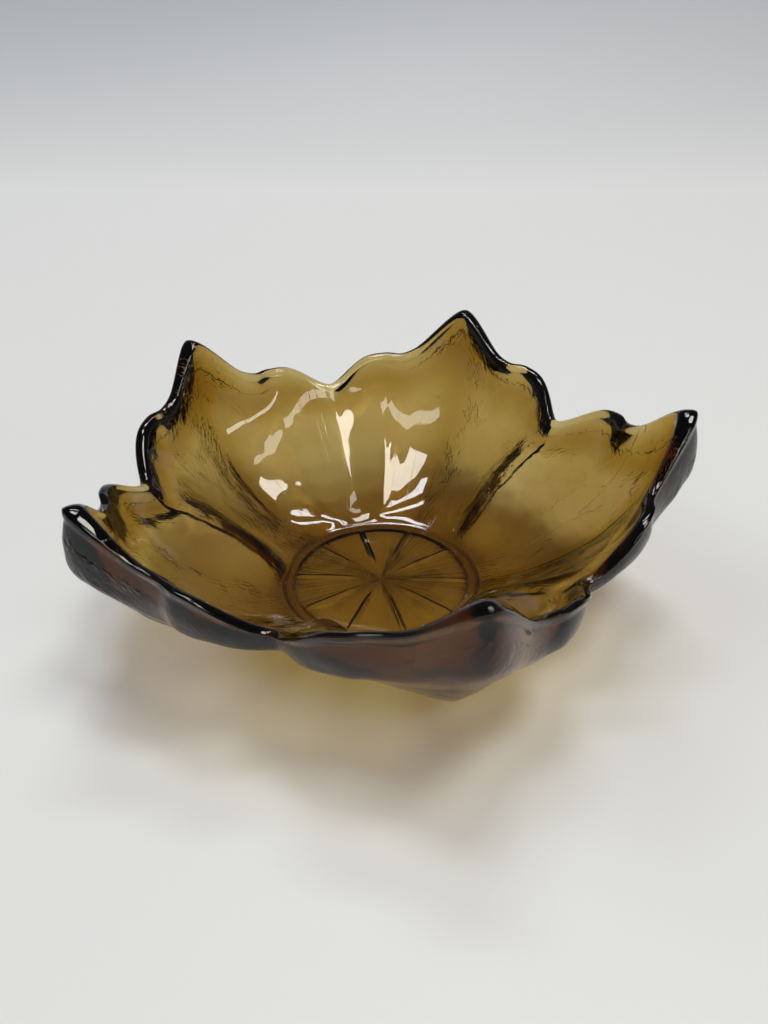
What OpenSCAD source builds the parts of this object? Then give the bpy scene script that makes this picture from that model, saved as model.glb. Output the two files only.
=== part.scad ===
// Petal bowl: a pressed glass candy dish shaped like an open five-petal blossom.
// Millimetres. +Z is up. The origin is on the bowl's axis, in the plane that the foot
// ring stands on. The tip of the first petal points along +X.

/* [Petals] */
// petals round the bowl
petals = 5; // [5:1:6]
// distance from the axis to the middle of the rim at a petal's tip
tip_r = 94; // [88:1:100]
// height of the middle of the rim at a petal's tip
tip_h = 66; // [60:1:72]
// distance from the axis to the rim in the hollow beside a tip
dip_r = 84; // [80:0.5:88]
// height of the rim in the hollow beside a tip
dip_h = 51; // [48:0.5:56]
// distance from the axis to the rim on a petal's round shoulder
shoulder_r = 84.5; // [81:0.5:88]
// height of the rim on a petal's round shoulder
shoulder_h = 51; // [47:0.5:55]
// distance from the axis to the rim in the notch between two petals
notch_r = 75; // [72:0.5:79]
// height of the rim in the notch between two petals
notch_h = 39.5; // [36:0.5:43]
// how far the petals have settled out of even while the glass was soft
settling = 1; // [0:0.1:1.2]

/* [Glass] */
// thickness of the wall
wall = 4.4; // [3.8:0.1:5]
// thickness of the fire-polished rim
rim_t = 6; // [5:0.1:6.8]
// how far the keel stands out along a petal's middle
keel_proud = 2; // [1:0.1:3]
// depth of the valley pressed into the outside between two petals
valley_depth = 1.2; // [0.5:0.1:1.6]

/* [Foot] */
// outer radius of the foot ring
foot_r = 34; // [32:0.5:36]
// height of the foot ring under the base
foot_h = 1.6; // [1.2:0.1:2.2]
// width of the flat that the bowl stands on
foot_w = 2.6; // [2:0.1:3.4]
// depth of the rays pressed into the underside of the base
ray_depth = 1.1; // [0.6:0.1:1.6]
// width of a ray at the underside
ray_w = 1.8; // [1.2:0.1:2.4]
// depth of the round floor below the foot of the petals
floor_step = 0.5; // [0.2:0.1:0.9]

/* [Hidden] */
amber = [0.50, 0.34, 0.12, 0.6];
half = 180 / petals;            // angle from a petal's middle to the notch beside it
columns = 12;                   // columns of facets in half a petal
rows = 16;                      // rows of facets from the foot to the rim
lip = 5;                        // rows of facets over the rounded rim
floor_z = foot_h + wall;        // height of the flat floor inside
base_r = foot_r + 0.8;          // radius of the flat underside
floor_r = foot_r - 3.6;         // radius of the flat floor inside
step_run = 1;                   // how far the step round the floor reaches outward
start_r = foot_r;               // where the middle of the wall leaves the base
start_z = foot_h + wall / 2;
tip_round = 0.05;               // share of half a petal over which the tip is rounded
notch_round = 0.03;             // the same in the notch, seen from above
notch_low = 0.09;               // the same in the notch, seen from the side
fold_round = 0.1;               // the same for the wall's folds below the rim
rim_reach = 0.16;               // share of the wall that thickens toward the rim
keel_half = 0.28;               // half width of the keel, as a share of half a petal
keel_fill = 2.2;                // thickness added inside, behind the keel's tip
fill_half = 0.32;               // half width of that filling
valley_half = 0.18;             // half width of the valley
rise_run = 1 / 3;               // share of the wall over which keel and valley rise
keel_end = 0.4;                 // share of the keel's height left at the rim
keel_fade = 3.5;                // how fast the keel grows again below the rim
saddle_at = 0.55;               // where along the wall the keel is lowest
saddle_half = 0.3;              // half length of that saddle
saddle_drop = 0.5;              // share of the keel's height lost in the saddle
keel_span = 0.6;                // position at which the keel's section has become the belly's
keel_sharp = 1.4;               // how quickly it does so
valley_span = 0.5;              // position at which the belly's section starts to fold
valley_sharp = 2.2;             // how quickly the fold tightens
tip_flare = 0.6;                // how far the rim swells outward beside the tip
notch_flare = 0.8;              // the same beside the notch

// The rim from a petal's tip (0) to the notch (1): [position, distance from the axis, height].
rim = [
    [0, tip_r, tip_h],
    [0.25, (tip_r + 5 * dip_r) / 6 + tip_flare, (tip_h + 4 * dip_h) / 5],
    [0.4, dip_r, dip_h],
    [0.55, shoulder_r, shoulder_h],
    [0.75, (2 * shoulder_r + notch_r) / 3 + notch_flare, (4 * shoulder_h + notch_h) / 5],
    [1, notch_r, notch_h]
];

// How the rim settled: [outward, upward] at the first tip, halfway to the notch, at the
// notch, halfway to the next tip, and so on round the bowl.
settled = [
    [0.5, 1], [0, 0.5], [0.5, 1], [1.5, 0],
    [1, -1], [-1, -1.5], [0, 1.5], [-3, -2],
    [-5.5, 0.5], [-0.5, -1], [2, -1.5], [0, -1.5],
    [0.5, -1.5], [0, 0], [0, 0], [0, 0],
    [0, -2], [-1.5, -6.5], [-1.5, -4], [-1, -1]
];

// How the wall leaves the base and meets the rim: [angle, reach] at each end.
keel_curve = [13, 43, 80, 25];
belly_curve = [22, 22, 76, 18];
valley_curve = [70, 22, 50, 13];

function mix(a, b, w) = a + (b - a) * w;
function ease(s) = s * s * (3 - 2 * s);
function unit(v) = v / norm(v);
function bump(x) = x > 1 ? 0 : pow(1 - x, 2) * (1 + 2 * x);

// Position f with the corners at the tip (0) and at the notch (1) rounded off.
function soft(x, s) = sqrt(x * x + s * s) - s;
function rounded(f, at_tip, at_notch) = mix(soft(f, at_tip), 1 - soft(1 - f, at_notch), ease(f));

// Slope of the rim outline at point i, in column c of the list.
function slope(p, i, c) =
    let(a = max(i - 1, 0), b = min(i + 1, len(p) - 1))
    (p[b][c] - p[a][c]) / (p[b][0] - p[a][0]);

// Cubic Hermite curve through a list of points, read at position f.
function spline(p, f, c, i = 0) =
    i < len(p) - 2 && f > p[i + 1][0] ? spline(p, f, c, i + 1) :
    let(
        h = p[i + 1][0] - p[i][0],
        s = (f - p[i][0]) / h,
        bend = s * (1 - s)
    )
    mix(p[i][c], p[i + 1][c], ease(s))
        + bend * h * ((1 - s) * slope(p, i, c) - s * slope(p, i + 1, c));

// How far the rim has settled at a turn round the axis: [outward, upward].
function settle_at(turn) =
    let(p = 2 * turn / half, i = floor(p), n = len(settled))
    settling * mix(settled[i % n], settled[(i + 1) % n], ease(p - i));

// Shape of the wall's section at position f: keel, then belly, then valley.
function keel_share(f) = pow(max(0, 1 - f / keel_span), keel_sharp);
function valley_share(f) = pow(max(0, (f - valley_span) / (1 - valley_span)), valley_sharp);
function section_curve(f) =
    let(g = rounded(f, fold_round, fold_round))
    mix(mix(belly_curve, keel_curve, keel_share(g)), valley_curve, valley_share(g));

// The four control points of the wall's section: [distance from axis, height].
function controls(f, turn) =
    let(
        k = section_curve(f),
        a = [start_r, start_z],
        r = spline(rim, rounded(f, tip_round, notch_round), 1),
        z = spline(rim, rounded(f, tip_round, notch_low), 2),
        d = [r, z] + settle_at(turn)
    )
    [a, a + k[1] * [cos(k[0]), sin(k[0])], d - k[3] * [cos(k[2]), sin(k[2])], d];

function bezier(q, t) =
    pow(1 - t, 3) * q[0] + 3 * pow(1 - t, 2) * t * q[1]
        + 3 * (1 - t) * t * t * q[2] + pow(t, 3) * q[3];
function bezier_way(q, t) =
    unit(pow(1 - t, 2) * (q[1] - q[0]) + 2 * (1 - t) * t * (q[2] - q[1])
        + t * t * (q[3] - q[2]));

// Half thickness of the glass inside and outside the middle of the wall.
function core(t) = mix(wall, rim_t, bump((1 - t) / rim_reach)) / 2;
function inner_t(f, t) = core(t) + keel_fill * bump(f / fill_half) * t * t;
function saddle(t) = 1 - saddle_drop * bump(abs(t - saddle_at) / saddle_half);
function keel_rise(t) = min(1, t / rise_run, keel_fade * (1 - t) + keel_end) * saddle(t);
function outer_t(f, t) =
    core(t)
        + keel_proud * bump(f / keel_half) * keel_rise(t)
        - valley_depth * bump((1 - f) / valley_half) * min(1, t / rise_run);

// One closed loop round the glass in the plane at position f, from the floor over the rim
// to the underside.
function wall_point(q, f, t, side) =
    let(w = bezier_way(q, t), out = [w[1], -w[0]])
    bezier(q, t) + out * (side > 0 ? outer_t(f, t) : -inner_t(f, t));
function lip_point(q, f, turn) =
    let(w = bezier_way(q, 1), out = [w[1], -w[0]], c = cos(turn))
    q[3] - out * c * (c > 0 ? inner_t(f, 1) : outer_t(f, 1)) + w * sin(turn) * rim_t / 2;
function section(f, turn) =
    let(q = controls(f, turn))
    concat(
        [[floor_r, floor_z], [floor_r + step_run, floor_z + floor_step]],
        [for (i = [1 : rows]) wall_point(q, f, i / rows, -1)],
        [for (i = [1 : lip]) lip_point(q, f, 180 * i / (lip + 1))],
        [for (i = [rows : -1 : 1]) wall_point(q, f, i / rows, 1)],
        [[base_r, foot_h]]
    );

// Columns crowd together at the keel and at the valley, where the glass turns sharply.
function column_f(i) = (1 - cos(180 * i / columns)) / 2;
function column_turn(c) =
    let(k = c % (2 * columns), i = min(k, 2 * columns - k), f = column_f(i))
    half * (2 * floor(c / (2 * columns)) + (k <= columns ? f : 2 - f));
function column_loop(c) =
    let(k = c % (2 * columns), turn = column_turn(c))
    [for (p = section(column_f(min(k, 2 * columns - k)), turn))
        [p[0] * cos(turn), p[0] * sin(turn), p[1]]];

module petal_bowl() {
    around = 2 * columns * petals;
    loops = [for (c = [0 : around - 1]) column_loop(c)];
    loop = len(loops[0]);
    points = [for (each_loop = loops, p = each_loop) p];
    sides = [
        for (c = [0 : around - 1], r = [0 : loop - 2])
            let(a = c * loop + r, b = ((c + 1) % around) * loop + r)
            for (tri = [[a, b + 1, a + 1], [a, b, b + 1]]) tri
    ];
    floor_face = [for (c = [around - 1 : -1 : 0]) c * loop];
    base_face = [for (c = [0 : around - 1]) c * loop + loop - 1];
    polyhedron(points, concat(sides, [floor_face, base_face]), convexity = 8);
}

// The ring that the bowl stands on, with its inner side sloped for the mould.
module foot_ring() {
    slope_in = 0.8;
    edge = 0.4;
    embed = 0.6;
    rotate_extrude($fn = 120)
        polygon([
            [foot_r - foot_w - slope_in, foot_h + embed],
            [foot_r - foot_w, 0],
            [foot_r - edge, 0],
            [foot_r, edge],
            [foot_r, foot_h + embed]
        ]);
}

// Rays under the base, one below each keel and one below each valley.
module rays() {
    hub = 8;
    clear = 2.2;
    reach = foot_r - foot_w - clear;
    for (i = [0 : 2 * petals - 1])
        rotate([0, 0, half * i])
            translate([hub, 0, foot_h])
                rotate([90, 0, 90])
                    linear_extrude(reach - hub)
                        polygon([[-ray_w / 2, 0], [0, ray_depth], [ray_w / 2, 0], [0, -1]]);
}

module dish() {
    color(amber)
        difference() {
            union() {
                petal_bowl();
                foot_ring();
            }
            rays();
        }
}

dish();
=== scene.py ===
import math

import bmesh
import bpy
from mathutils import Matrix, Vector, noise


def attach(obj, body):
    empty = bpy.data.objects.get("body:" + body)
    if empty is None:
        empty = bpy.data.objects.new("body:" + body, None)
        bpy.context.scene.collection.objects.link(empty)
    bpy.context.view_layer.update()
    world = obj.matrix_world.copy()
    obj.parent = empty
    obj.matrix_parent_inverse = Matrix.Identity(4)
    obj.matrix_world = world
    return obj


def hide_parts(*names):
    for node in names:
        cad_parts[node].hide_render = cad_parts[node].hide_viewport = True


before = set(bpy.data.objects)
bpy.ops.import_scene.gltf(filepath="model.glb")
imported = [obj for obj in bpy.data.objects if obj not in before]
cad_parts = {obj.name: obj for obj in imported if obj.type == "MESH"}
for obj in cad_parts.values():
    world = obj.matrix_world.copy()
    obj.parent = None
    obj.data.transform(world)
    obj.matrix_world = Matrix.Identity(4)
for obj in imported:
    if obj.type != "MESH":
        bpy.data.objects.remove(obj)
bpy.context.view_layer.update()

bl_info = {
    "name": "Petal Candy Dish",
    "version": (1, 0, 0),
    "blender": (4, 5, 0),
    "location": "3D View > Sidebar > Petal Dish",
    "description": "Builds a pressed amber glass candy dish like an open blossom, and its stage",
    "category": "Object",
}

NODE = "dish"
MM = 0.001


# ---------------------------------------------------------------- sizes and colours

class PetalDishForm(bpy.types.PropertyGroup):
    """The dish's own sizes, as they are in the part."""

    petals: bpy.props.IntProperty(
        name="Petals", description="Petals round the bowl",
        default=5, min=5, max=6, subtype="UNSIGNED")
    tip_r: bpy.props.FloatProperty(
        name="Tip radius", description="Axis to the middle of the rim at a petal's tip",
        default=94 * MM, unit="LENGTH")
    tip_h: bpy.props.FloatProperty(
        name="Tip height", description="Height of the middle of the rim at a tip",
        default=66 * MM, unit="LENGTH")
    dip_r: bpy.props.FloatProperty(
        name="Dip radius", description="Axis to the rim in the hollow beside a tip",
        default=84 * MM, unit="LENGTH")
    dip_h: bpy.props.FloatProperty(
        name="Dip height", description="Height of the rim in the hollow beside a tip",
        default=51 * MM, unit="LENGTH")
    shoulder_r: bpy.props.FloatProperty(
        name="Shoulder radius", description="Axis to the rim on a petal's round shoulder",
        default=84.5 * MM, unit="LENGTH")
    shoulder_h: bpy.props.FloatProperty(
        name="Shoulder height", description="Height of the rim on a petal's round shoulder",
        default=51 * MM, unit="LENGTH")
    notch_r: bpy.props.FloatProperty(
        name="Notch radius", description="Axis to the rim in the notch between two petals",
        default=75 * MM, unit="LENGTH")
    notch_h: bpy.props.FloatProperty(
        name="Notch height", description="Height of the rim in the notch between two petals",
        default=39.5 * MM, unit="LENGTH")
    settling: bpy.props.FloatProperty(
        name="Settling", description="How far the petals have settled out of even",
        default=1.0, subtype="FACTOR", min=0, max=1.2)
    wall: bpy.props.FloatProperty(
        name="Wall", description="Thickness of the wall", default=4.4 * MM, unit="LENGTH")
    rim_t: bpy.props.FloatProperty(
        name="Rim", description="Thickness of the fire-polished rim",
        default=6 * MM, unit="LENGTH")
    keel_proud: bpy.props.FloatProperty(
        name="Keel", description="How far the keel stands out along a petal's middle",
        default=2 * MM, unit="LENGTH")
    valley_depth: bpy.props.FloatProperty(
        name="Valley", description="Depth of the valley pressed between two petals",
        default=1.2 * MM, unit="LENGTH")
    foot_r: bpy.props.FloatProperty(
        name="Foot radius", description="Outer radius of the foot ring",
        default=34 * MM, unit="LENGTH")
    foot_h: bpy.props.FloatProperty(
        name="Foot height", description="Height of the foot ring under the base",
        default=1.6 * MM, unit="LENGTH")
    foot_w: bpy.props.FloatProperty(
        name="Foot width", description="Width of the flat that the bowl stands on",
        default=2.6 * MM, unit="LENGTH")
    ray_depth: bpy.props.FloatProperty(
        name="Ray depth", description="Depth of the rays pressed into the underside",
        default=1.1 * MM, unit="LENGTH")
    ray_w: bpy.props.FloatProperty(
        name="Ray width", description="Width of a ray at the underside",
        default=2.4 * MM, unit="LENGTH")
    floor_step: bpy.props.FloatProperty(
        name="Floor step", description="Depth of the round floor below the petals",
        default=0.5 * MM, unit="LENGTH")
    bark: bpy.props.FloatProperty(
        name="Bark relief", description="Height of the bark-like relief outside",
        default=0.3 * MM, unit="LENGTH")
    wave: bpy.props.FloatProperty(
        name="Waviness", description="Height of the slow waves in the fire-polished inside",
        default=0.12 * MM, unit="LENGTH")
    roll: bpy.props.FloatProperty(
        name="Rim roll", description="How far the outside rolls in toward the polished edge",
        default=3.4 * MM, unit="LENGTH")


class PetalDishLooks(bpy.types.PropertyGroup):
    """Colours and finish of the glass, and the stage."""

    amber: bpy.props.FloatVectorProperty(
        name="Amber", description="Tint that the glass gives at its surfaces",
        default=(0.90, 0.82, 0.58), subtype="COLOR", size=3, min=0, max=1)
    body: bpy.props.FloatVectorProperty(
        name="Body tint", description="Colour that the glass keeps in its depth",
        default=(0.70, 0.55, 0.03), subtype="COLOR", size=3, min=0, max=1)
    density: bpy.props.FloatProperty(
        name="Density", description="Absorption of the glass per metre",
        default=400.0, min=0, soft_max=1000, subtype="UNSIGNED")
    gloss: bpy.props.FloatProperty(
        name="Inside roughness", description="Roughness of the fire-polished inside",
        default=0.03, subtype="FACTOR")
    satin: bpy.props.FloatProperty(
        name="Outside roughness", description="Roughness of the satin outside",
        default=0.13, subtype="FACTOR")
    floor: bpy.props.FloatVectorProperty(
        name="Floor", description="Colour of the floor", default=(0.74, 0.745, 0.74),
        subtype="COLOR", size=3, min=0, max=1)
    # The backdrop's upper colour is the pale board with painted shade, darker where less light falls
    # on it.
    backdrop: bpy.props.FloatVectorProperty(
        name="Backdrop", description="Colour of the backdrop's upper part",
        default=(0.44, 0.455, 0.49), subtype="COLOR", size=3, min=0, max=1)


# ---------------------------------------------------------------- curves

def mix(a, b, w):
    return a + (b - a) * w


def ease(s):
    """0 at 0, rising smoothly to 1 at 1."""
    return s * s * (3 - 2 * s)


def bump(x):
    """1 at 0, falling smoothly to 0 at 1."""
    return 0.0 if x > 1 else (1 - x) ** 2 * (1 + 2 * x)


def soft(x, s):
    """x with the corner at 0 rounded off."""
    return math.sqrt(x * x + s * s) - s


def rounded(f, at_tip, at_notch):
    """Position f with the corners at the tip (0) and at the notch (1) rounded off."""
    return mix(soft(f, at_tip), 1 - soft(1 - f, at_notch), ease(f))


# ---------------------------------------------------------------- what differs from fold to fold

# Each row starts at the first petal's keel, then gives the valley after it, the next keel, and
# so on round the bowl.
ROLLED = (14, 11, 10, 9.5, 13, 14, 13, 12, 12, 12)    # height below the rim that rolls in, in mm
POLISHED = (7, 5, 4, 4, 6, 7, 3, 3, 3, 6)             # height without relief, in mm
PRESSED = (1, 1, 0.7, 0.3, 1, 1, 0.9, 0.3, 0.3, 0.7)  # share of the relief that the mould left
SEAMS = (                             # height in mm, then where it starts and ends up the wall
    (0.9, 0.08, 0.6), (0.7, 0.12, 0.95),
    (0.3, 0.1, 0.4), (0.25, 0.1, 0.5),
    (1.2, 0.1, 0.5), (0.9, 0.06, 0.95),
    (0.8, 0.1, 0.6), (0.7, 0.1, 0.85),
    (0.6, 0.1, 0.5), (0.8, 0.1, 0.75),
)
LEANING = (0, 1, 2, 8, 9)             # seams whose flatter side is the one with more turn
WORN_VALLEYS = {3: (0.5, 0.78), 9: (0.4, 1.0)}        # rounding, and share of the depth left
SETTLED = ((0.5, 1), (0, 0.5), (0.5, 1), (1.5, 0),            # outward and upward, in mm,
           (1, -1), (-1, -1.5), (0, 1.5), (-3, -2),           # halfway between the folds too
           (-5.5, 0.5), (-0.5, -1), (2, -1.5), (0, -1.5),
           (0.5, -1.5), (0, 0), (0, 0), (0, 0),
           (0, -2), (-1.5, -6.5), (-1.5, -4), (-1, -1))


def at_turn(row, places, turn):
    """What a row gives at a turn, where it has so many places in a full turn."""
    place = turn * places / (2 * math.pi)
    i, n = math.floor(place), len(row)
    return mix(row[i % n], row[(i + 1) % n], ease(place - i))


def at_fold(row, petals, turn):
    return at_turn(row, 2 * petals, turn)


def valley_at(petals, turn):
    """Number of the valley that the half petals on both its sides share."""
    return 2 * math.floor(turn * petals / (2 * math.pi)) + 1


# ---------------------------------------------------------------- the section of the glass

class Section:
    """The loop round the glass in a plane through the axis. Position f runs from a petal's
    keel (0) to the valley (1), and t from the foot (0) to the rim (1)."""

    KEEL = (13, 43 * MM, 80, 25 * MM)     # angle and reach where the wall leaves the base,
    BELLY = (22, 22 * MM, 76, 18 * MM)    # then where it meets the rim
    VALLEY = (70, 22 * MM, 50, 13 * MM)
    KEEL_SPAN, KEEL_SHARP = 0.6, 1.4      # where the keel has become the belly, and how quickly
    VALLEY_SPAN, VALLEY_SHARP = 0.5, 2.2  # where the belly starts to fold, and how quickly

    TIP_ROUND = 0.05                      # rounding of the rim at its tip,
    NOTCH_ROUND, NOTCH_LOW = 0.03, 0.09   # in the notch from above and from the side,
    KEEL_ROUND = 0.1                      # and of the wall at the keel,
    OUTSIDE_FOLD, INSIDE_FOLD = 0.16, 0.22  # and in the valley
    TIP_FLARE, NOTCH_FLARE = 0.6 * MM, 0.8 * MM  # how far the rim swells beside tip and notch
    TIP_FLARE_AT, DIP_AT, SHOULDER_AT, NOTCH_FLARE_AT = 0.25, 0.4, 0.55, 0.75

    FLOOR_IN, STEP_RUN = 3.6 * MM, 1 * MM  # the flat floor stays inside the foot; width of its step
    BASE_OUT = 0.8 * MM                   # the base reaches past the foot ring
    FIRST = 1 / 16                        # share of the wall that leaves the base straight
    WALL_RUN = 75 * MM                    # length of the wall from foot to rim

    RISE_RUN = 1 / 3                      # share of the wall over which keel and valley rise
    KEEL_HALF, VALLEY_HALF = 0.28, 0.24   # their half widths, as a share of half a petal
    KEEL_END, KEEL_FADE = 0.4, 3.5        # share of the keel left at the rim, and how it grows
    SADDLE_AT, SADDLE_HALF, SADDLE_DROP = 0.55, 0.3, 0.5  # the keel is lower in between
    KEEL_FILL, FILL_HALF = 2.2 * MM, 0.32  # glass added inside, behind the keel's tip

    SWELL_FROM = 0.66                     # the wall swells from this share up,
    SWELL, INSIDE_SWELL = 1.8 * MM, 0.8 * MM
    USUAL_ROLL = 10.5 * MM                # with a taller swell where more than this rolls in,
    ROLL_BEND = 1.5                       # and the roll bends more and more toward the edge

    def __init__(self, form):
        self.form = form
        self.floor_z = form.foot_h + form.wall
        self.start = Vector((form.foot_r, form.foot_h + form.wall / 2))
        self.floor_r = self.start.x - self.FLOOR_IN
        self.rim = (                      # position, distance from the axis, height
            (0, form.tip_r, form.tip_h),
            (self.TIP_FLARE_AT, (form.tip_r + 5 * form.dip_r) / 6 + self.TIP_FLARE,
             (form.tip_h + 4 * form.dip_h) / 5),
            (self.DIP_AT, form.dip_r, form.dip_h),
            (self.SHOULDER_AT, form.shoulder_r, form.shoulder_h),
            (self.NOTCH_FLARE_AT, (2 * form.shoulder_r + form.notch_r) / 3 + self.NOTCH_FLARE,
             (4 * form.shoulder_h + form.notch_h) / 5),
            (1, form.notch_r, form.notch_h),
        )

    def slope(self, i, c):
        a, b = max(i - 1, 0), min(i + 1, len(self.rim) - 1)
        return (self.rim[b][c] - self.rim[a][c]) / (self.rim[b][0] - self.rim[a][0])

    def rim_at(self, f, c):
        """Cubic Hermite curve through the rim's points, from the tip (0) to the notch (1)."""
        i = 0
        while i < len(self.rim) - 2 and f > self.rim[i + 1][0]:
            i += 1
        h = self.rim[i + 1][0] - self.rim[i][0]
        s = (f - self.rim[i][0]) / h
        line = mix(self.rim[i][c], self.rim[i + 1][c], ease(s))
        return line + s * (1 - s) * h * ((1 - s) * self.slope(i, c) - s * self.slope(i + 1, c))

    def settle_at(self, turn):
        moves = [Vector(move) for move in SETTLED]
        return self.form.settling * MM * at_turn(moves, 4 * self.form.petals, turn)

    def controls(self, f, turn, side=1):
        """The four points that shape the middle of the wall. The folds are rounder inside (-1)
        than outside (1)."""
        fold = self.OUTSIDE_FOLD if side > 0 else self.INSIDE_FOLD
        fold, share = WORN_VALLEYS.get(valley_at(self.form.petals, turn), (fold, 1))
        g = rounded(f, self.KEEL_ROUND, fold)
        keel = max(0.0, 1 - g / self.KEEL_SPAN) ** self.KEEL_SHARP
        valley = share * max(0.0, (g - self.VALLEY_SPAN) / (1 - self.VALLEY_SPAN)) ** self.VALLEY_SHARP
        k = [mix(mix(b, a, keel), v, valley) for a, b, v in zip(self.KEEL, self.BELLY, self.VALLEY)]
        end = Vector((self.rim_at(rounded(f, self.TIP_ROUND, self.NOTCH_ROUND), 1),
                      self.rim_at(rounded(f, self.TIP_ROUND, self.NOTCH_LOW), 2)))
        end += self.settle_at(turn)
        leave, meet = math.radians(k[0]), math.radians(k[2])
        return (self.start,
                self.start + k[1] * Vector((math.cos(leave), math.sin(leave))),
                end - k[3] * Vector((math.cos(meet), math.sin(meet))),
                end)

    @staticmethod
    def at(q, t):
        """Place on the middle of the wall, and the way along it, at share t."""
        u = 1 - t
        place = u ** 3 * q[0] + 3 * u * u * t * q[1] + 3 * u * t * t * q[2] + t ** 3 * q[3]
        way = u * u * (q[1] - q[0]) + 2 * u * t * (q[2] - q[1]) + t * t * (q[3] - q[2])
        return place, way.normalized()

    def swell(self, t, top):
        return ease(min(1, max(0, (t - self.SWELL_FROM) / (top - self.SWELL_FROM))))

    def inner_t(self, f, t):
        core = self.form.wall / 2 + self.INSIDE_SWELL * self.swell(t, 1)
        return core + self.KEEL_FILL * bump(f / self.FILL_HALF) * t ** 2

    def outer_t(self, f, t, rolled):
        form, top, more = self.form, 1 - rolled / self.WALL_RUN, rolled / self.USUAL_ROLL
        saddle = 1 - self.SADDLE_DROP * bump(abs(t - self.SADDLE_AT) / self.SADDLE_HALF)
        rise = min(1, t / self.RISE_RUN)
        keel_rise = min(rise, self.KEEL_FADE * (1 - t) + self.KEEL_END) * saddle
        keel = form.keel_proud * bump(f / self.KEEL_HALF) * keel_rise
        valley = form.valley_depth * bump((1 - f) / self.VALLEY_HALF) * rise
        over = max(0, (t - top) / (1 - top))
        swell = self.SWELL * self.swell(t, top) - form.roll * over ** self.ROLL_BEND
        return form.wall / 2 + more * swell + keel - valley

    def wall_point(self, q, f, t, side, rolled=0):
        """A point of the wall's face: side 1 outside, -1 inside."""
        s = max(t, self.FIRST)
        place, way = self.at(q, s)
        out = Vector((way.y, -way.x))
        point = place + out * (self.outer_t(f, s, rolled) if side > 0 else -self.inner_t(f, s))
        if t < self.FIRST:
            edge = (Vector((self.form.foot_r + self.BASE_OUT, self.form.foot_h)) if side > 0
                    else Vector((self.floor_r + self.STEP_RUN, self.floor_z + self.form.floor_step)))
            point = mix(edge, point, t / self.FIRST)
        return point

    def lip_point(self, q, f, turned, rolled):
        """A point of the rounded edge, from the inside (0) to the outside (pi)."""
        _, way = self.at(q, 1)
        out = Vector((way.y, -way.x))
        c = math.cos(turned)
        half = self.inner_t(f, 1) if c > 0 else self.outer_t(f, 1, rolled)
        return q[3] - out * c * half + way * math.sin(turned) * self.form.rim_t / 2


FLOOR_ROWS, WALL_IN, LIP, WALL_OUT, UNDER = 3, 28, 9, 66, 12
CROWDING = 0.3                        # how much the rows outside crowd together toward the rim
RING_SLOPE = 1 * MM                   # how far the foot ring's inner side slopes


def ring_outline(form):
    """The foot ring, from its outer side round the flat to its inner side, which slopes for
    the mould."""
    edge_in, edge_up = 0.45 * MM, 0.6 * MM            # ends of the round outer edge,
    round_in, round_up = 0.12 * MM, 0.14 * MM         # and its middle
    heel_in, heel_out, heel_up = 0.2 * MM, 0.15 * MM, 0.12 * MM
    slope_out, slope_up = 0.6 * MM, 0.75              # a place on the slope, and its share up
    inner = form.foot_r - form.foot_w
    return ((form.foot_r, form.foot_h),
            (form.foot_r, edge_up),
            (form.foot_r - round_in, round_up),
            (form.foot_r - edge_in, 0),
            (form.foot_r - form.foot_w / 2, 0),
            (inner + heel_in, 0),
            (inner - heel_out, heel_up),
            (inner - slope_out, form.foot_h * slope_up),
            (inner - RING_SLOPE, form.foot_h))


def section_rows(section, f, turn):
    """The rows of one column, from the floor's middle over the rim to the underside's middle:
    (distance from the axis, height, part of the glass, share of the way along that part)."""
    form = section.form
    inside, outside = section.controls(f, turn, -1), section.controls(f, turn)
    rolled = at_fold(ROLLED, form.petals, turn) * MM
    rows = [(section.floor_r * i / FLOOR_ROWS, section.floor_z, "floor", i / FLOOR_ROWS)
            for i in range(FLOOR_ROWS + 1)]
    for i in range(WALL_IN + 1):
        p = section.wall_point(inside, f, i / WALL_IN, -1)
        rows.append((p.x, p.y, "inside", i / WALL_IN))
    for i in range(1, LIP):
        turned = math.pi * i / LIP
        p = section.lip_point(inside if turned < math.pi / 2 else outside, f, turned, rolled)
        rows.append((p.x, p.y, "lip", i / LIP))
    for i in range(WALL_OUT, -1, -1):
        even = i / WALL_OUT
        along = even + CROWDING * even * (1 - even)
        p = section.wall_point(outside, f, along, 1, rolled)
        rows.append((p.x, p.y, "outside", along))
    rows += [(r, z, "foot", 0) for r, z in ring_outline(form)]
    inner = form.foot_r - form.foot_w - RING_SLOPE
    rows += [(inner * (1 - i / UNDER), form.foot_h, "under", 1 - i / UNDER)
             for i in range(1, UNDER + 1)]
    return rows


# ---------------------------------------------------------------- relief of the glass

def waves(x, y, z, length=1.0):
    """Smooth noise whose waves have about this length."""
    return noise.noise(Vector((x, y, z)) / length)


def bark(x, y, z):
    """The bark-like relief outside: soft ridges on slow waves, both with their lengths."""
    return waves(x, y, z, 4.5 * MM) + 0.8 * waves(x, y, z, 10 * MM)


def polish(x, y, z):
    """Slow waves that fire polishing leaves inside, with a little of quicker ones."""
    return waves(x, y, z, 18 * MM) + 0.2 * waves(x, y, z, 7 * MM)


FLATTER, STEEPER = 4.0, 2.0           # width of a seam's two sides, as a multiple of its height
FADE_IN, FADE_OUT = 0.08, 0.12        # share of the wall over which its ends fade
WANDER = 0.9 * MM                     # how far it wanders to a side,
SLOW, QUICK, UNEVEN = 9, 24, 20       # in so many waves up the wall; waves of its width


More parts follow.
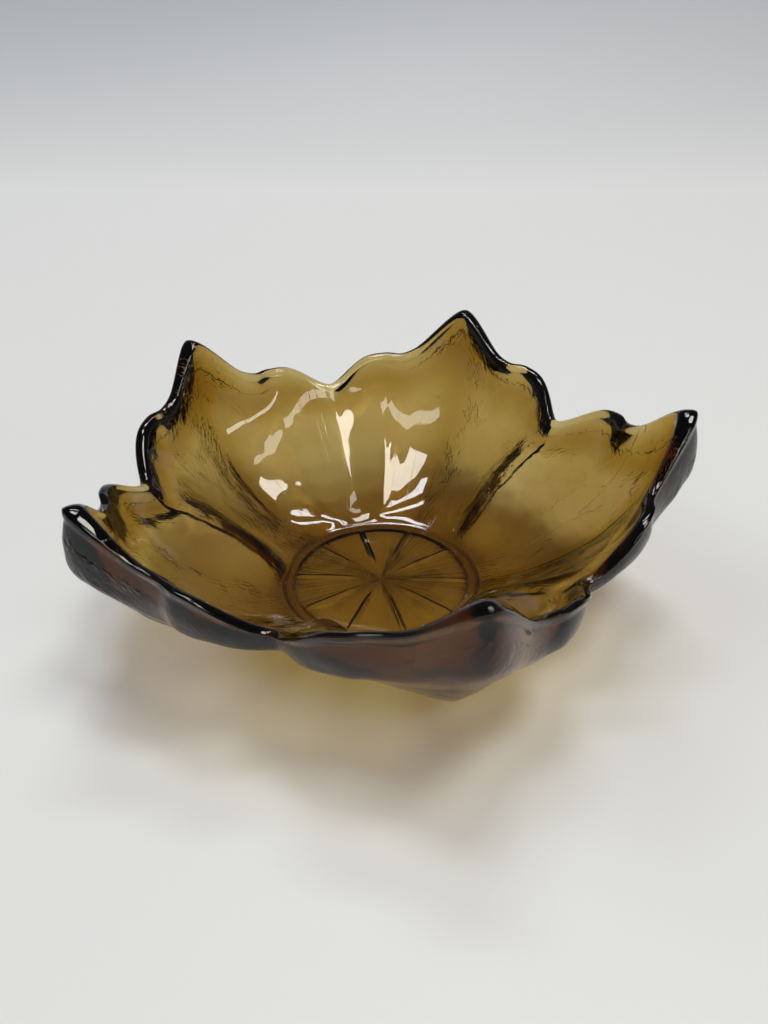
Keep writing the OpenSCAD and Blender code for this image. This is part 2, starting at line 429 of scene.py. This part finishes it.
def seam(petals, turn, along, reach):
    """How far the ragged seam along the nearest keel or valley stands out."""
    step = math.pi / petals
    n = round(turn / step)
    height, start, end = SEAMS[n % len(SEAMS)]
    ends = max(0.0, min(1, (along - start) / FADE_IN, (end - along) / FADE_OUT))
    if not ends:
        return 0.0
    wander = waves(5.0 * n, along * SLOW, 1.0) + 0.5 * waves(5.0 * n, along * QUICK, 3.0)
    off = (turn - n * step) * reach - WANDER * wander
    flat = (off > 0) == (n % len(SEAMS) in LEANING)
    uneven = 1 + 0.5 * waves(7.0 * n, along * UNEVEN, 6.0)
    half = (FLATTER if flat else STEEPER) * height * uneven * MM
    return height * MM * ends * max(0.0, 1 - abs(off) / half)


HUB, RAY_CLEAR = 9 * MM, 2.2 * MM     # the rays start at the hub, and end clear of the ring
RAY_START, RAY_END = 2.5 * MM, 1.2 * MM  # length over which a ray runs out at its ends


def ray_groove(form, turn, r):
    """Depth of the pressed rays at a place on the underside."""
    end = form.foot_r - form.foot_w - RAY_CLEAR
    if not HUB < r < end:
        return 0.0
    step = math.pi / form.petals
    off = abs((turn + step / 2) % step - step / 2) * r
    ends = min(1, (r - HUB) / RAY_START, (end - r) / RAY_END)
    return form.ray_depth * max(0.0, 1 - off / (form.ray_w / 2)) * ends


# ---------------------------------------------------------------- the mesh

COLUMNS = 76                          # columns of faces in half a petal
GRAIN_R = 80 * MM                     # the grain runs round the bowl as if it had this radius
SATIN_RUN = 4 * MM                    # height over which the polish becomes satin
FOLD_RELIEF, FOLD_REACH = 0.8, 0.4    # more relief at the keels, and how far from them
LOW_RUN = 1 / 8                       # share of the wall over which the bark rises at the foot
FLOOR_RUN, RIM_RUN, RIM_WAVE = 1 / 5, 1 / 6, 0.25  # the same for the waves, at both ends
ONE_POINT = 0.5e-6                    # points nearer than this are one


def column_share(i):
    """Columns crowd together at the keel and at the valley, where the glass turns sharply."""
    even = i / COLUMNS
    return mix(even, (1 - math.cos(math.pi * even)) / 2, 0.5)


def column_place(c, petals):
    """Share of half a petal, and turn round the axis, of column c."""
    k = c % (2 * COLUMNS)
    share = column_share(min(k, 2 * COLUMNS - k))
    half = math.pi / petals
    return share, half * (2 * (c // (2 * COLUMNS)) + (share if k <= COLUMNS else 2 - share))


def wrap_grid(bm, form):
    """Wraps a flat grid round the axis: across it goes round the bowl, and up it goes along
    the section of the glass. The seam and both poles are closed before any relief is raised.
    Gives back what the relief needs at each vertex."""
    section = Section(form)
    around = 2 * COLUMNS * form.petals
    spots = [column_place(c % around, form.petals) for c in range(around + 1)]
    columns = [section_rows(section, *spot) for spot in spots]
    up = len(columns[0]) - 1
    bmesh.ops.create_grid(bm, x_segments=around, y_segments=up, size=1.0)
    satin_at = bm.verts.layers.float.new("satin")
    relief_at = bm.verts.layers.float.new("relief")
    grain_at = bm.verts.layers.float_vector.new("grain")
    places = []
    for v in bm.verts:
        c = round((v.co.x + 1) / 2 * around)
        r = round((v.co.y + 1) / 2 * up)
        share, turn = spots[c]
        reach, height, part, along = columns[c][r]
        lift = ray_groove(form, turn, reach) if part == "under" else 0.0
        v.co = (reach * math.cos(turn), reach * math.sin(turn), height + lift)
        drop = (1 - along) * section.WALL_RUN if part == "outside" else 0.0
        below_polish = drop - at_fold(POLISHED, form.petals, turn) * MM
        satin = min(1, max(0, below_polish / SATIN_RUN))
        pressed = at_fold(PRESSED, form.petals, turn)
        v[satin_at] = satin if part == "outside" else float(part in ("under", "foot"))
        v[relief_at] = pressed * (0.5 + FOLD_RELIEF * bump(share / FOLD_REACH))
        v[grain_at] = (GRAIN_R * math.cos(turn), GRAIN_R * math.sin(turn), drop)
        places.append((v, part, turn, along, reach, pressed * ease(satin)))
    bmesh.ops.remove_doubles(bm, verts=bm.verts, dist=ONE_POINT)
    return [place for place in places if place[0].is_valid]


def raise_relief(form, places):
    """Bark and waves are pressed in, outside and inside, and the seams stand out."""
    for v, part, turn, along, reach, rough in places:
        if part == "outside":
            low = min(1, along / LOW_RUN)
            v.co -= v.normal * form.bark * bark(*v.co) * rough * low
            v.co += v.normal * seam(form.petals, turn, along, reach)
        elif part == "inside":
            ends = min(1, along / FLOOR_RUN, (1 - along) / RIM_RUN + RIM_WAVE)
            v.co -= v.normal * form.wave * polish(*v.co) * ends


def smooth_object(bm, name):
    """Turns a bmesh into an object of the scene, shaded smooth."""
    for face in bm.faces:
        face.smooth = True
    mesh = bpy.data.meshes.new(name)
    bm.to_mesh(mesh)
    bm.free()
    made = bpy.data.objects.new(name, mesh)
    bpy.context.scene.collection.objects.link(made)
    return made


def press_dish(form):
    """The whole dish, as one closed mesh."""
    bm = bmesh.new()
    places = wrap_grid(bm, form)
    bmesh.ops.recalc_face_normals(bm, faces=bm.faces)
    bm.normal_update()
    raise_relief(form, places)
    return smooth_object(bm, "dish_glass")


# ---------------------------------------------------------------- materials

def place_node(tree, kind, place, sockets=None, **settings):
    """Adds a node with its settings. Sockets gives each input a value, or an output to link."""
    node = tree.nodes.new(kind)
    node.location = place
    for name, value in settings.items():
        setattr(node, name, value)
    for name, value in (sockets or {}).items():
        if isinstance(value, bpy.types.NodeSocket):
            tree.links.new(value, node.inputs[name])
        else:
            node.inputs[name].default_value = value
    return node


def rgba(colour, share=1.0):
    return (*(share * c for c in colour), 1)


GLASS_IOR = 1.5
STROKES, STROKE_STRETCH = 750.0, (1.0, 1.0, 0.8)      # bark strokes in a metre, longer downward
PATCHES, CLOUDS = 90.0, 60.0          # patches of stronger bark, and clouds in the tint
CLOUDED = 0.93                        # share of the tint where it is cloudiest
RAGGED, SATIN_FROM, SATIN_FULL = 1.6, 1.05, 1.35      # the ragged edge where the satin starts
PATCH_FROM, PATCH_FULL, BETWEEN = 0.5, 0.68, 0.4      # noise at a patch's edge and in it, and
                                                      # share of the bark between patches
BARK_STRENGTH, BARK_DEPTH = 0.8, 1.2 * MM
CLEAR_SHARE = 0.87                    # light that passes both faces of the wall into its shadow


def satin_mask(tree, strokes):
    """1 where the mould left the glass satin, 0 where fire polished it, with a ragged edge."""
    satin = place_node(tree, "ShaderNodeAttribute", (-1300, 200), attribute_name="satin")
    edge = place_node(tree, "ShaderNodeMath", (-900, 100), {
        0: strokes, 1: RAGGED, 2: satin.outputs["Fac"]}, operation="MULTIPLY_ADD")
    mask = place_node(tree, "ShaderNodeMapRange", (-700, 100), {
        "Value": edge.outputs["Value"], "From Min": SATIN_FROM, "From Max": SATIN_FULL,
    }, interpolation_type="SMOOTHSTEP")
    return mask.outputs["Result"]


def bark_normal(tree, strokes, satin, coords):
    """Fine bark strokes, strong in patches and at the keels, and only where the glass is satin."""
    patch = place_node(tree, "ShaderNodeTexNoise", (-1100, -800), {
        "Vector": coords, "Scale": PATCHES, "Detail": 1.0})
    strong = place_node(tree, "ShaderNodeMapRange", (-900, -700), {
        "Value": patch.outputs["Fac"], "From Min": PATCH_FROM, "From Max": PATCH_FULL,
        "To Min": BETWEEN}, interpolation_type="SMOOTHSTEP")
    pressed = place_node(tree, "ShaderNodeAttribute", (-900, -900), attribute_name="relief")
    local = place_node(tree, "ShaderNodeMath", (-700, -700), {
        0: strong.outputs["Result"], 1: pressed.outputs["Fac"]}, operation="MULTIPLY")
    amount = place_node(tree, "ShaderNodeMath", (-700, -400), {
        0: local.outputs["Value"], 1: satin}, operation="MULTIPLY")
    height = place_node(tree, "ShaderNodeMath", (-450, -150), {
        0: strokes, 1: amount.outputs["Value"]}, operation="MULTIPLY")
    relief = place_node(tree, "ShaderNodeBump", (-150, -150), {
        "Height": height.outputs["Value"], "Strength": BARK_STRENGTH, "Distance": BARK_DEPTH})
    return relief.outputs["Normal"]


def glass_material(looks):
    """Tawny pressed glass: glossy inside and on the rim, satin outside, darker in its depth."""
    mat = bpy.data.materials.new("amber_glass")
    mat.use_nodes = True
    tree = mat.node_tree
    tree.nodes.clear()

    place = place_node(tree, "ShaderNodeTexCoord", (-1500, -500))
    coords = place.outputs["Object"]
    grain = place_node(tree, "ShaderNodeAttribute", (-1500, -200), attribute_name="grain")
    stretch = place_node(tree, "ShaderNodeMapping", (-1300, -200), {
        "Vector": grain.outputs["Vector"], "Scale": STROKE_STRETCH})
    stroke = place_node(tree, "ShaderNodeTexNoise", (-1100, -200), {
        "Vector": stretch.outputs["Vector"], "Scale": STROKES, "Detail": 2.0,
        "Roughness": 0.5, "Distortion": 0.5})
    strokes = stroke.outputs["Fac"]
    satin = satin_mask(tree, strokes)
    rough = place_node(tree, "ShaderNodeMapRange", (-450, 200), {
        "Value": satin, "To Min": looks.gloss, "To Max": looks.satin})
    cloud = place_node(tree, "ShaderNodeTexNoise", (-1100, -500), {
        "Vector": coords, "Scale": CLOUDS, "Detail": 2.0})
    tint = place_node(tree, "ShaderNodeMix", (-450, 450), {
        "Factor": cloud.outputs["Fac"], "A": rgba(looks.amber), "B": rgba(looks.amber, CLOUDED),
    }, data_type="RGBA")

    glass = place_node(tree, "ShaderNodeBsdfPrincipled", (300, 0), {
        "Base Color": tint.outputs["Result"], "Roughness": rough.outputs["Result"],
        "Normal": bark_normal(tree, strokes, satin, coords),
        "Metallic": 0.0, "Transmission Weight": 1.0, "IOR": GLASS_IOR})
    path = place_node(tree, "ShaderNodeLightPath", (300, 450))
    onward = place_node(tree, "ShaderNodeMath", (500, 350), {
        0: path.outputs["Is Shadow Ray"], 1: path.outputs["Is Diffuse Ray"]}, operation="MAXIMUM")
    through = [math.sqrt(c) for c in looks.amber]
    clear = place_node(tree, "ShaderNodeBsdfTransparent", (300, 150), {
        "Color": rgba(through, CLEAR_SHARE)})
    surface = place_node(tree, "ShaderNodeMixShader", (700, 100), {
        "Fac": onward.outputs["Value"], 1: glass.outputs["BSDF"], 2: clear.outputs["BSDF"]})
    depth = place_node(tree, "ShaderNodeVolumeAbsorption", (700, -200), {
        "Color": rgba(looks.body), "Density": looks.density})
    place_node(tree, "ShaderNodeOutputMaterial", (900, 0), {
        "Surface": surface.outputs["Shader"], "Volume": depth.outputs["Volume"]})
    return mat


BOARD_ROUGHNESS = 0.55
PAINTED_SHADE_RISE, PAINTED_SHADE_BEND = 0.15, 0.5    # height in metres by which the backdrop has reached its painted shade, and how that change bends


def board_material(looks):
    """Pale matt board, with painted shade that darkens it a little up the backdrop."""
    mat = bpy.data.materials.new("pale_board")
    mat.use_nodes = True
    tree = mat.node_tree
    coords = place_node(tree, "ShaderNodeTexCoord", (-900, 0))
    split = place_node(tree, "ShaderNodeSeparateXYZ", (-700, 0), {
        "Vector": coords.outputs["Object"]})
    rise = place_node(tree, "ShaderNodeMapRange", (-500, 0), {
        "Value": split.outputs["Z"], "From Max": PAINTED_SHADE_RISE})
    bend = place_node(tree, "ShaderNodeMath", (-350, 0), {
        0: rise.outputs["Result"], 1: PAINTED_SHADE_BEND}, operation="POWER")
    # painted shade: the board's colour darkens from the floor's up to the backdrop's
    painted_shade = place_node(tree, "ShaderNodeMix", (-250, 0), {
        "Factor": bend.outputs["Value"], "A": rgba(looks.floor), "B": rgba(looks.backdrop),
    }, data_type="RGBA")
    board = tree.nodes["Principled BSDF"]
    board.inputs["Roughness"].default_value = BOARD_ROUGHNESS
    tree.links.new(painted_shade.outputs["Result"], board.inputs["Base Color"])
    return mat


# ---------------------------------------------------------------- operators

class PETALDISH_OT_glass(bpy.types.Operator):
    """Presses the dish: bowl, petals, keels, rim, foot and rays as one piece of glass"""

    bl_idname = "petaldish.glass"
    bl_label = "Press the glass dish"

    def execute(self, context):
        piece = press_dish(context.scene.petal_dish_form)
        piece.data.materials.append(glass_material(context.scene.petal_dish_looks))
        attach(piece, "root")
        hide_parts(NODE)
        return {"FINISHED"}


WARM, COOL = (1.0, 0.95, 0.86), (0.94, 0.97, 1.0)
LIGHT_LOW, LIGHT_HIGH = 0.3, 0.08     # brightness round the stage at its own level, and above,
LEVEL, ABOVE = 0.1, 0.42              # and between which heights it changes
AIM = Vector((0, 0, 30 * MM))
PANEL_DISTANCE = 2.4
PANELS = (                            # azimuth, elevation, width, height, brightness, colour
    ("panel_front", -62, 51, 1.3, 0.34, 6, WARM),
    ("panel_right", -15, 70, 0.75, 0.6, 14, WARM),
    ("panel_far_right", -30, 22, 0.9, 0.13, 9, WARM),
    ("panel_over", 80, 80, 0.6, 0.4, 16, COOL),
    ("panel_over_back", 92, 62, 0.9, 0.2, 16, COOL),
)
FILL = ("fill_left", 178, 42, 1.9, 1.1, 2.6, COOL)

CAMERA_PLACE = (0.0132, -0.2243, 0.1808)
HEADING, DOWNWARD, TWIST = 3.03, 33.614, -0.522       # of the camera, in degrees
LENS, SENSOR = 28.78, 36.0            # in mm, as lenses are sold


def area_lamp(name, azimuth, elevation, width, height, light, colour):
    """A rectangular soft box that faces the dish."""
    a, e = math.radians(azimuth), math.radians(elevation)
    lamp = bpy.data.lights.new(name, "AREA")
    lamp.shape, lamp.size, lamp.size_y = "RECTANGLE", width, height
    lamp.energy, lamp.color = light * math.pi * width * height, colour
    holder = bpy.data.objects.new(name, lamp)
    holder.location = AIM + PANEL_DISTANCE * Vector(
        (math.cos(e) * math.cos(a), math.cos(e) * math.sin(a), math.sin(e)))
    holder.rotation_euler = (holder.location - AIM).to_track_quat("Z", "Y").to_euler()
    bpy.context.scene.collection.objects.link(holder)
    return holder


class PETALDISH_OT_stage(bpy.types.Operator):
    """Sets the floor with its backdrop, the lamps and the camera"""

    bl_idname = "petaldish.stage"
    bl_label = "Set the stage"

    def execute(self, context):
        looks = context.scene.petal_dish_looks
        self.board(looks)
        self.lamps(context.scene)
        self.camera(context.scene)
        context.scene.view_settings.view_transform = "Standard"
        return {"FINISHED"}

    def board(self, looks):
        """A floor that sweeps up into a backdrop: one edge, extruded across."""
        bend_r, bend_y, near, side, top = 0.35, 0.62, -2.2, 2.2, 0.36
        line = [(y, 0) for y in (near, -0.6, 0, 0.3, bend_y)]
        line += [(bend_y + bend_r * math.sin(a), bend_r * (1 - math.cos(a)))
                 for a in (math.radians(90 * i / 24) for i in range(1, 25))]
        line.append((bend_y + bend_r, top))
        bm = bmesh.new()
        verts = [bm.verts.new((-side, y, z)) for y, z in line]
        edges = [bm.edges.new(pair) for pair in zip(verts, verts[1:])]
        made = bmesh.ops.extrude_edge_only(bm, edges=edges)["geom"]
        moved = [g for g in made if isinstance(g, bmesh.types.BMVert)]
        bmesh.ops.translate(bm, verts=moved, vec=(2 * side, 0, 0))
        bmesh.ops.recalc_face_normals(bm, faces=bm.faces)
        if sum(f.normal.z for f in bm.faces) < 0:
            bmesh.ops.reverse_faces(bm, faces=bm.faces)
        floor = smooth_object(bm, "floor_board")
        floor.data.materials.append(board_material(looks))

    def lamps(self, scene):
        """Soft boxes round and above the dish. The fill lights the floor alone: it shows
        neither in reflections nor through the glass."""
        for panel in PANELS:
            area_lamp(*panel)
        fill = area_lamp(*FILL)
        fill.visible_glossy = False
        fill.visible_transmission = False
        scene.world = self.surroundings()

    @staticmethod
    def surroundings():
        """Pale at the level of the floor, dim above it."""
        world = bpy.data.worlds.new("surroundings")
        world.use_nodes = True
        tree = world.node_tree
        coords = place_node(tree, "ShaderNodeTexCoord", (-900, 0))
        split = place_node(tree, "ShaderNodeSeparateXYZ", (-700, 0), {
            "Vector": coords.outputs["Object"]})
        height = place_node(tree, "ShaderNodeMapRange", (-500, 0), {
            "Value": split.outputs["Z"], "From Min": LEVEL, "From Max": ABOVE,
            "To Min": LIGHT_LOW, "To Max": LIGHT_HIGH}, interpolation_type="SMOOTHSTEP")
        back = tree.nodes["Background"]
        back.inputs["Color"].default_value = rgba(COOL)
        tree.links.new(height.outputs["Result"], back.inputs["Strength"])
        return world

    def camera(self, scene):
        """Looks down on the dish from the front."""
        camera = bpy.data.cameras.new("camera")
        camera.lens, camera.sensor_width = LENS, SENSOR
        camera.clip_start = 10 * MM
        holder = bpy.data.objects.new("camera", camera)
        holder.location = CAMERA_PLACE
        turn = (Matrix.Rotation(math.radians(HEADING), 3, "Z")
                @ Matrix.Rotation(math.radians(90 - DOWNWARD), 3, "X")
                @ Matrix.Rotation(math.radians(TWIST), 3, "Z"))
        holder.rotation_euler = turn.to_euler()
        scene.collection.objects.link(holder)
        scene.camera = holder


class PETALDISH_PT_panel(bpy.types.Panel):
    """Lists the dish's sizes, its looks and the steps that build it"""

    bl_idname = "PETALDISH_PT_panel"
    bl_label = "Petal Dish"
    bl_space_type = "VIEW_3D"
    bl_region_type = "UI"
    bl_category = "Petal Dish"

    def draw(self, context):
        column = self.layout.column()
        for group in (context.scene.petal_dish_form, context.scene.petal_dish_looks):
            for name in group.bl_rna.properties.keys():
                if name not in ("rna_type", "name"):
                    column.prop(group, name)
        for operator in STEPS:
            column.operator(operator.bl_idname)


STEPS = (PETALDISH_OT_glass, PETALDISH_OT_stage)
CLASSES = (PetalDishForm, PetalDishLooks, *STEPS, PETALDISH_PT_panel)


def register():
    for item in CLASSES:
        bpy.utils.register_class(item)
    bpy.types.Scene.petal_dish_form = bpy.props.PointerProperty(type=PetalDishForm)
    bpy.types.Scene.petal_dish_looks = bpy.props.PointerProperty(type=PetalDishLooks)


def unregister():
    del bpy.types.Scene.petal_dish_looks
    del bpy.types.Scene.petal_dish_form
    for item in reversed(CLASSES):
        bpy.utils.unregister_class(item)


def main():
    register()
    bpy.ops.petaldish.glass()
    bpy.ops.petaldish.stage()


if __name__ == "__main__":
    main()
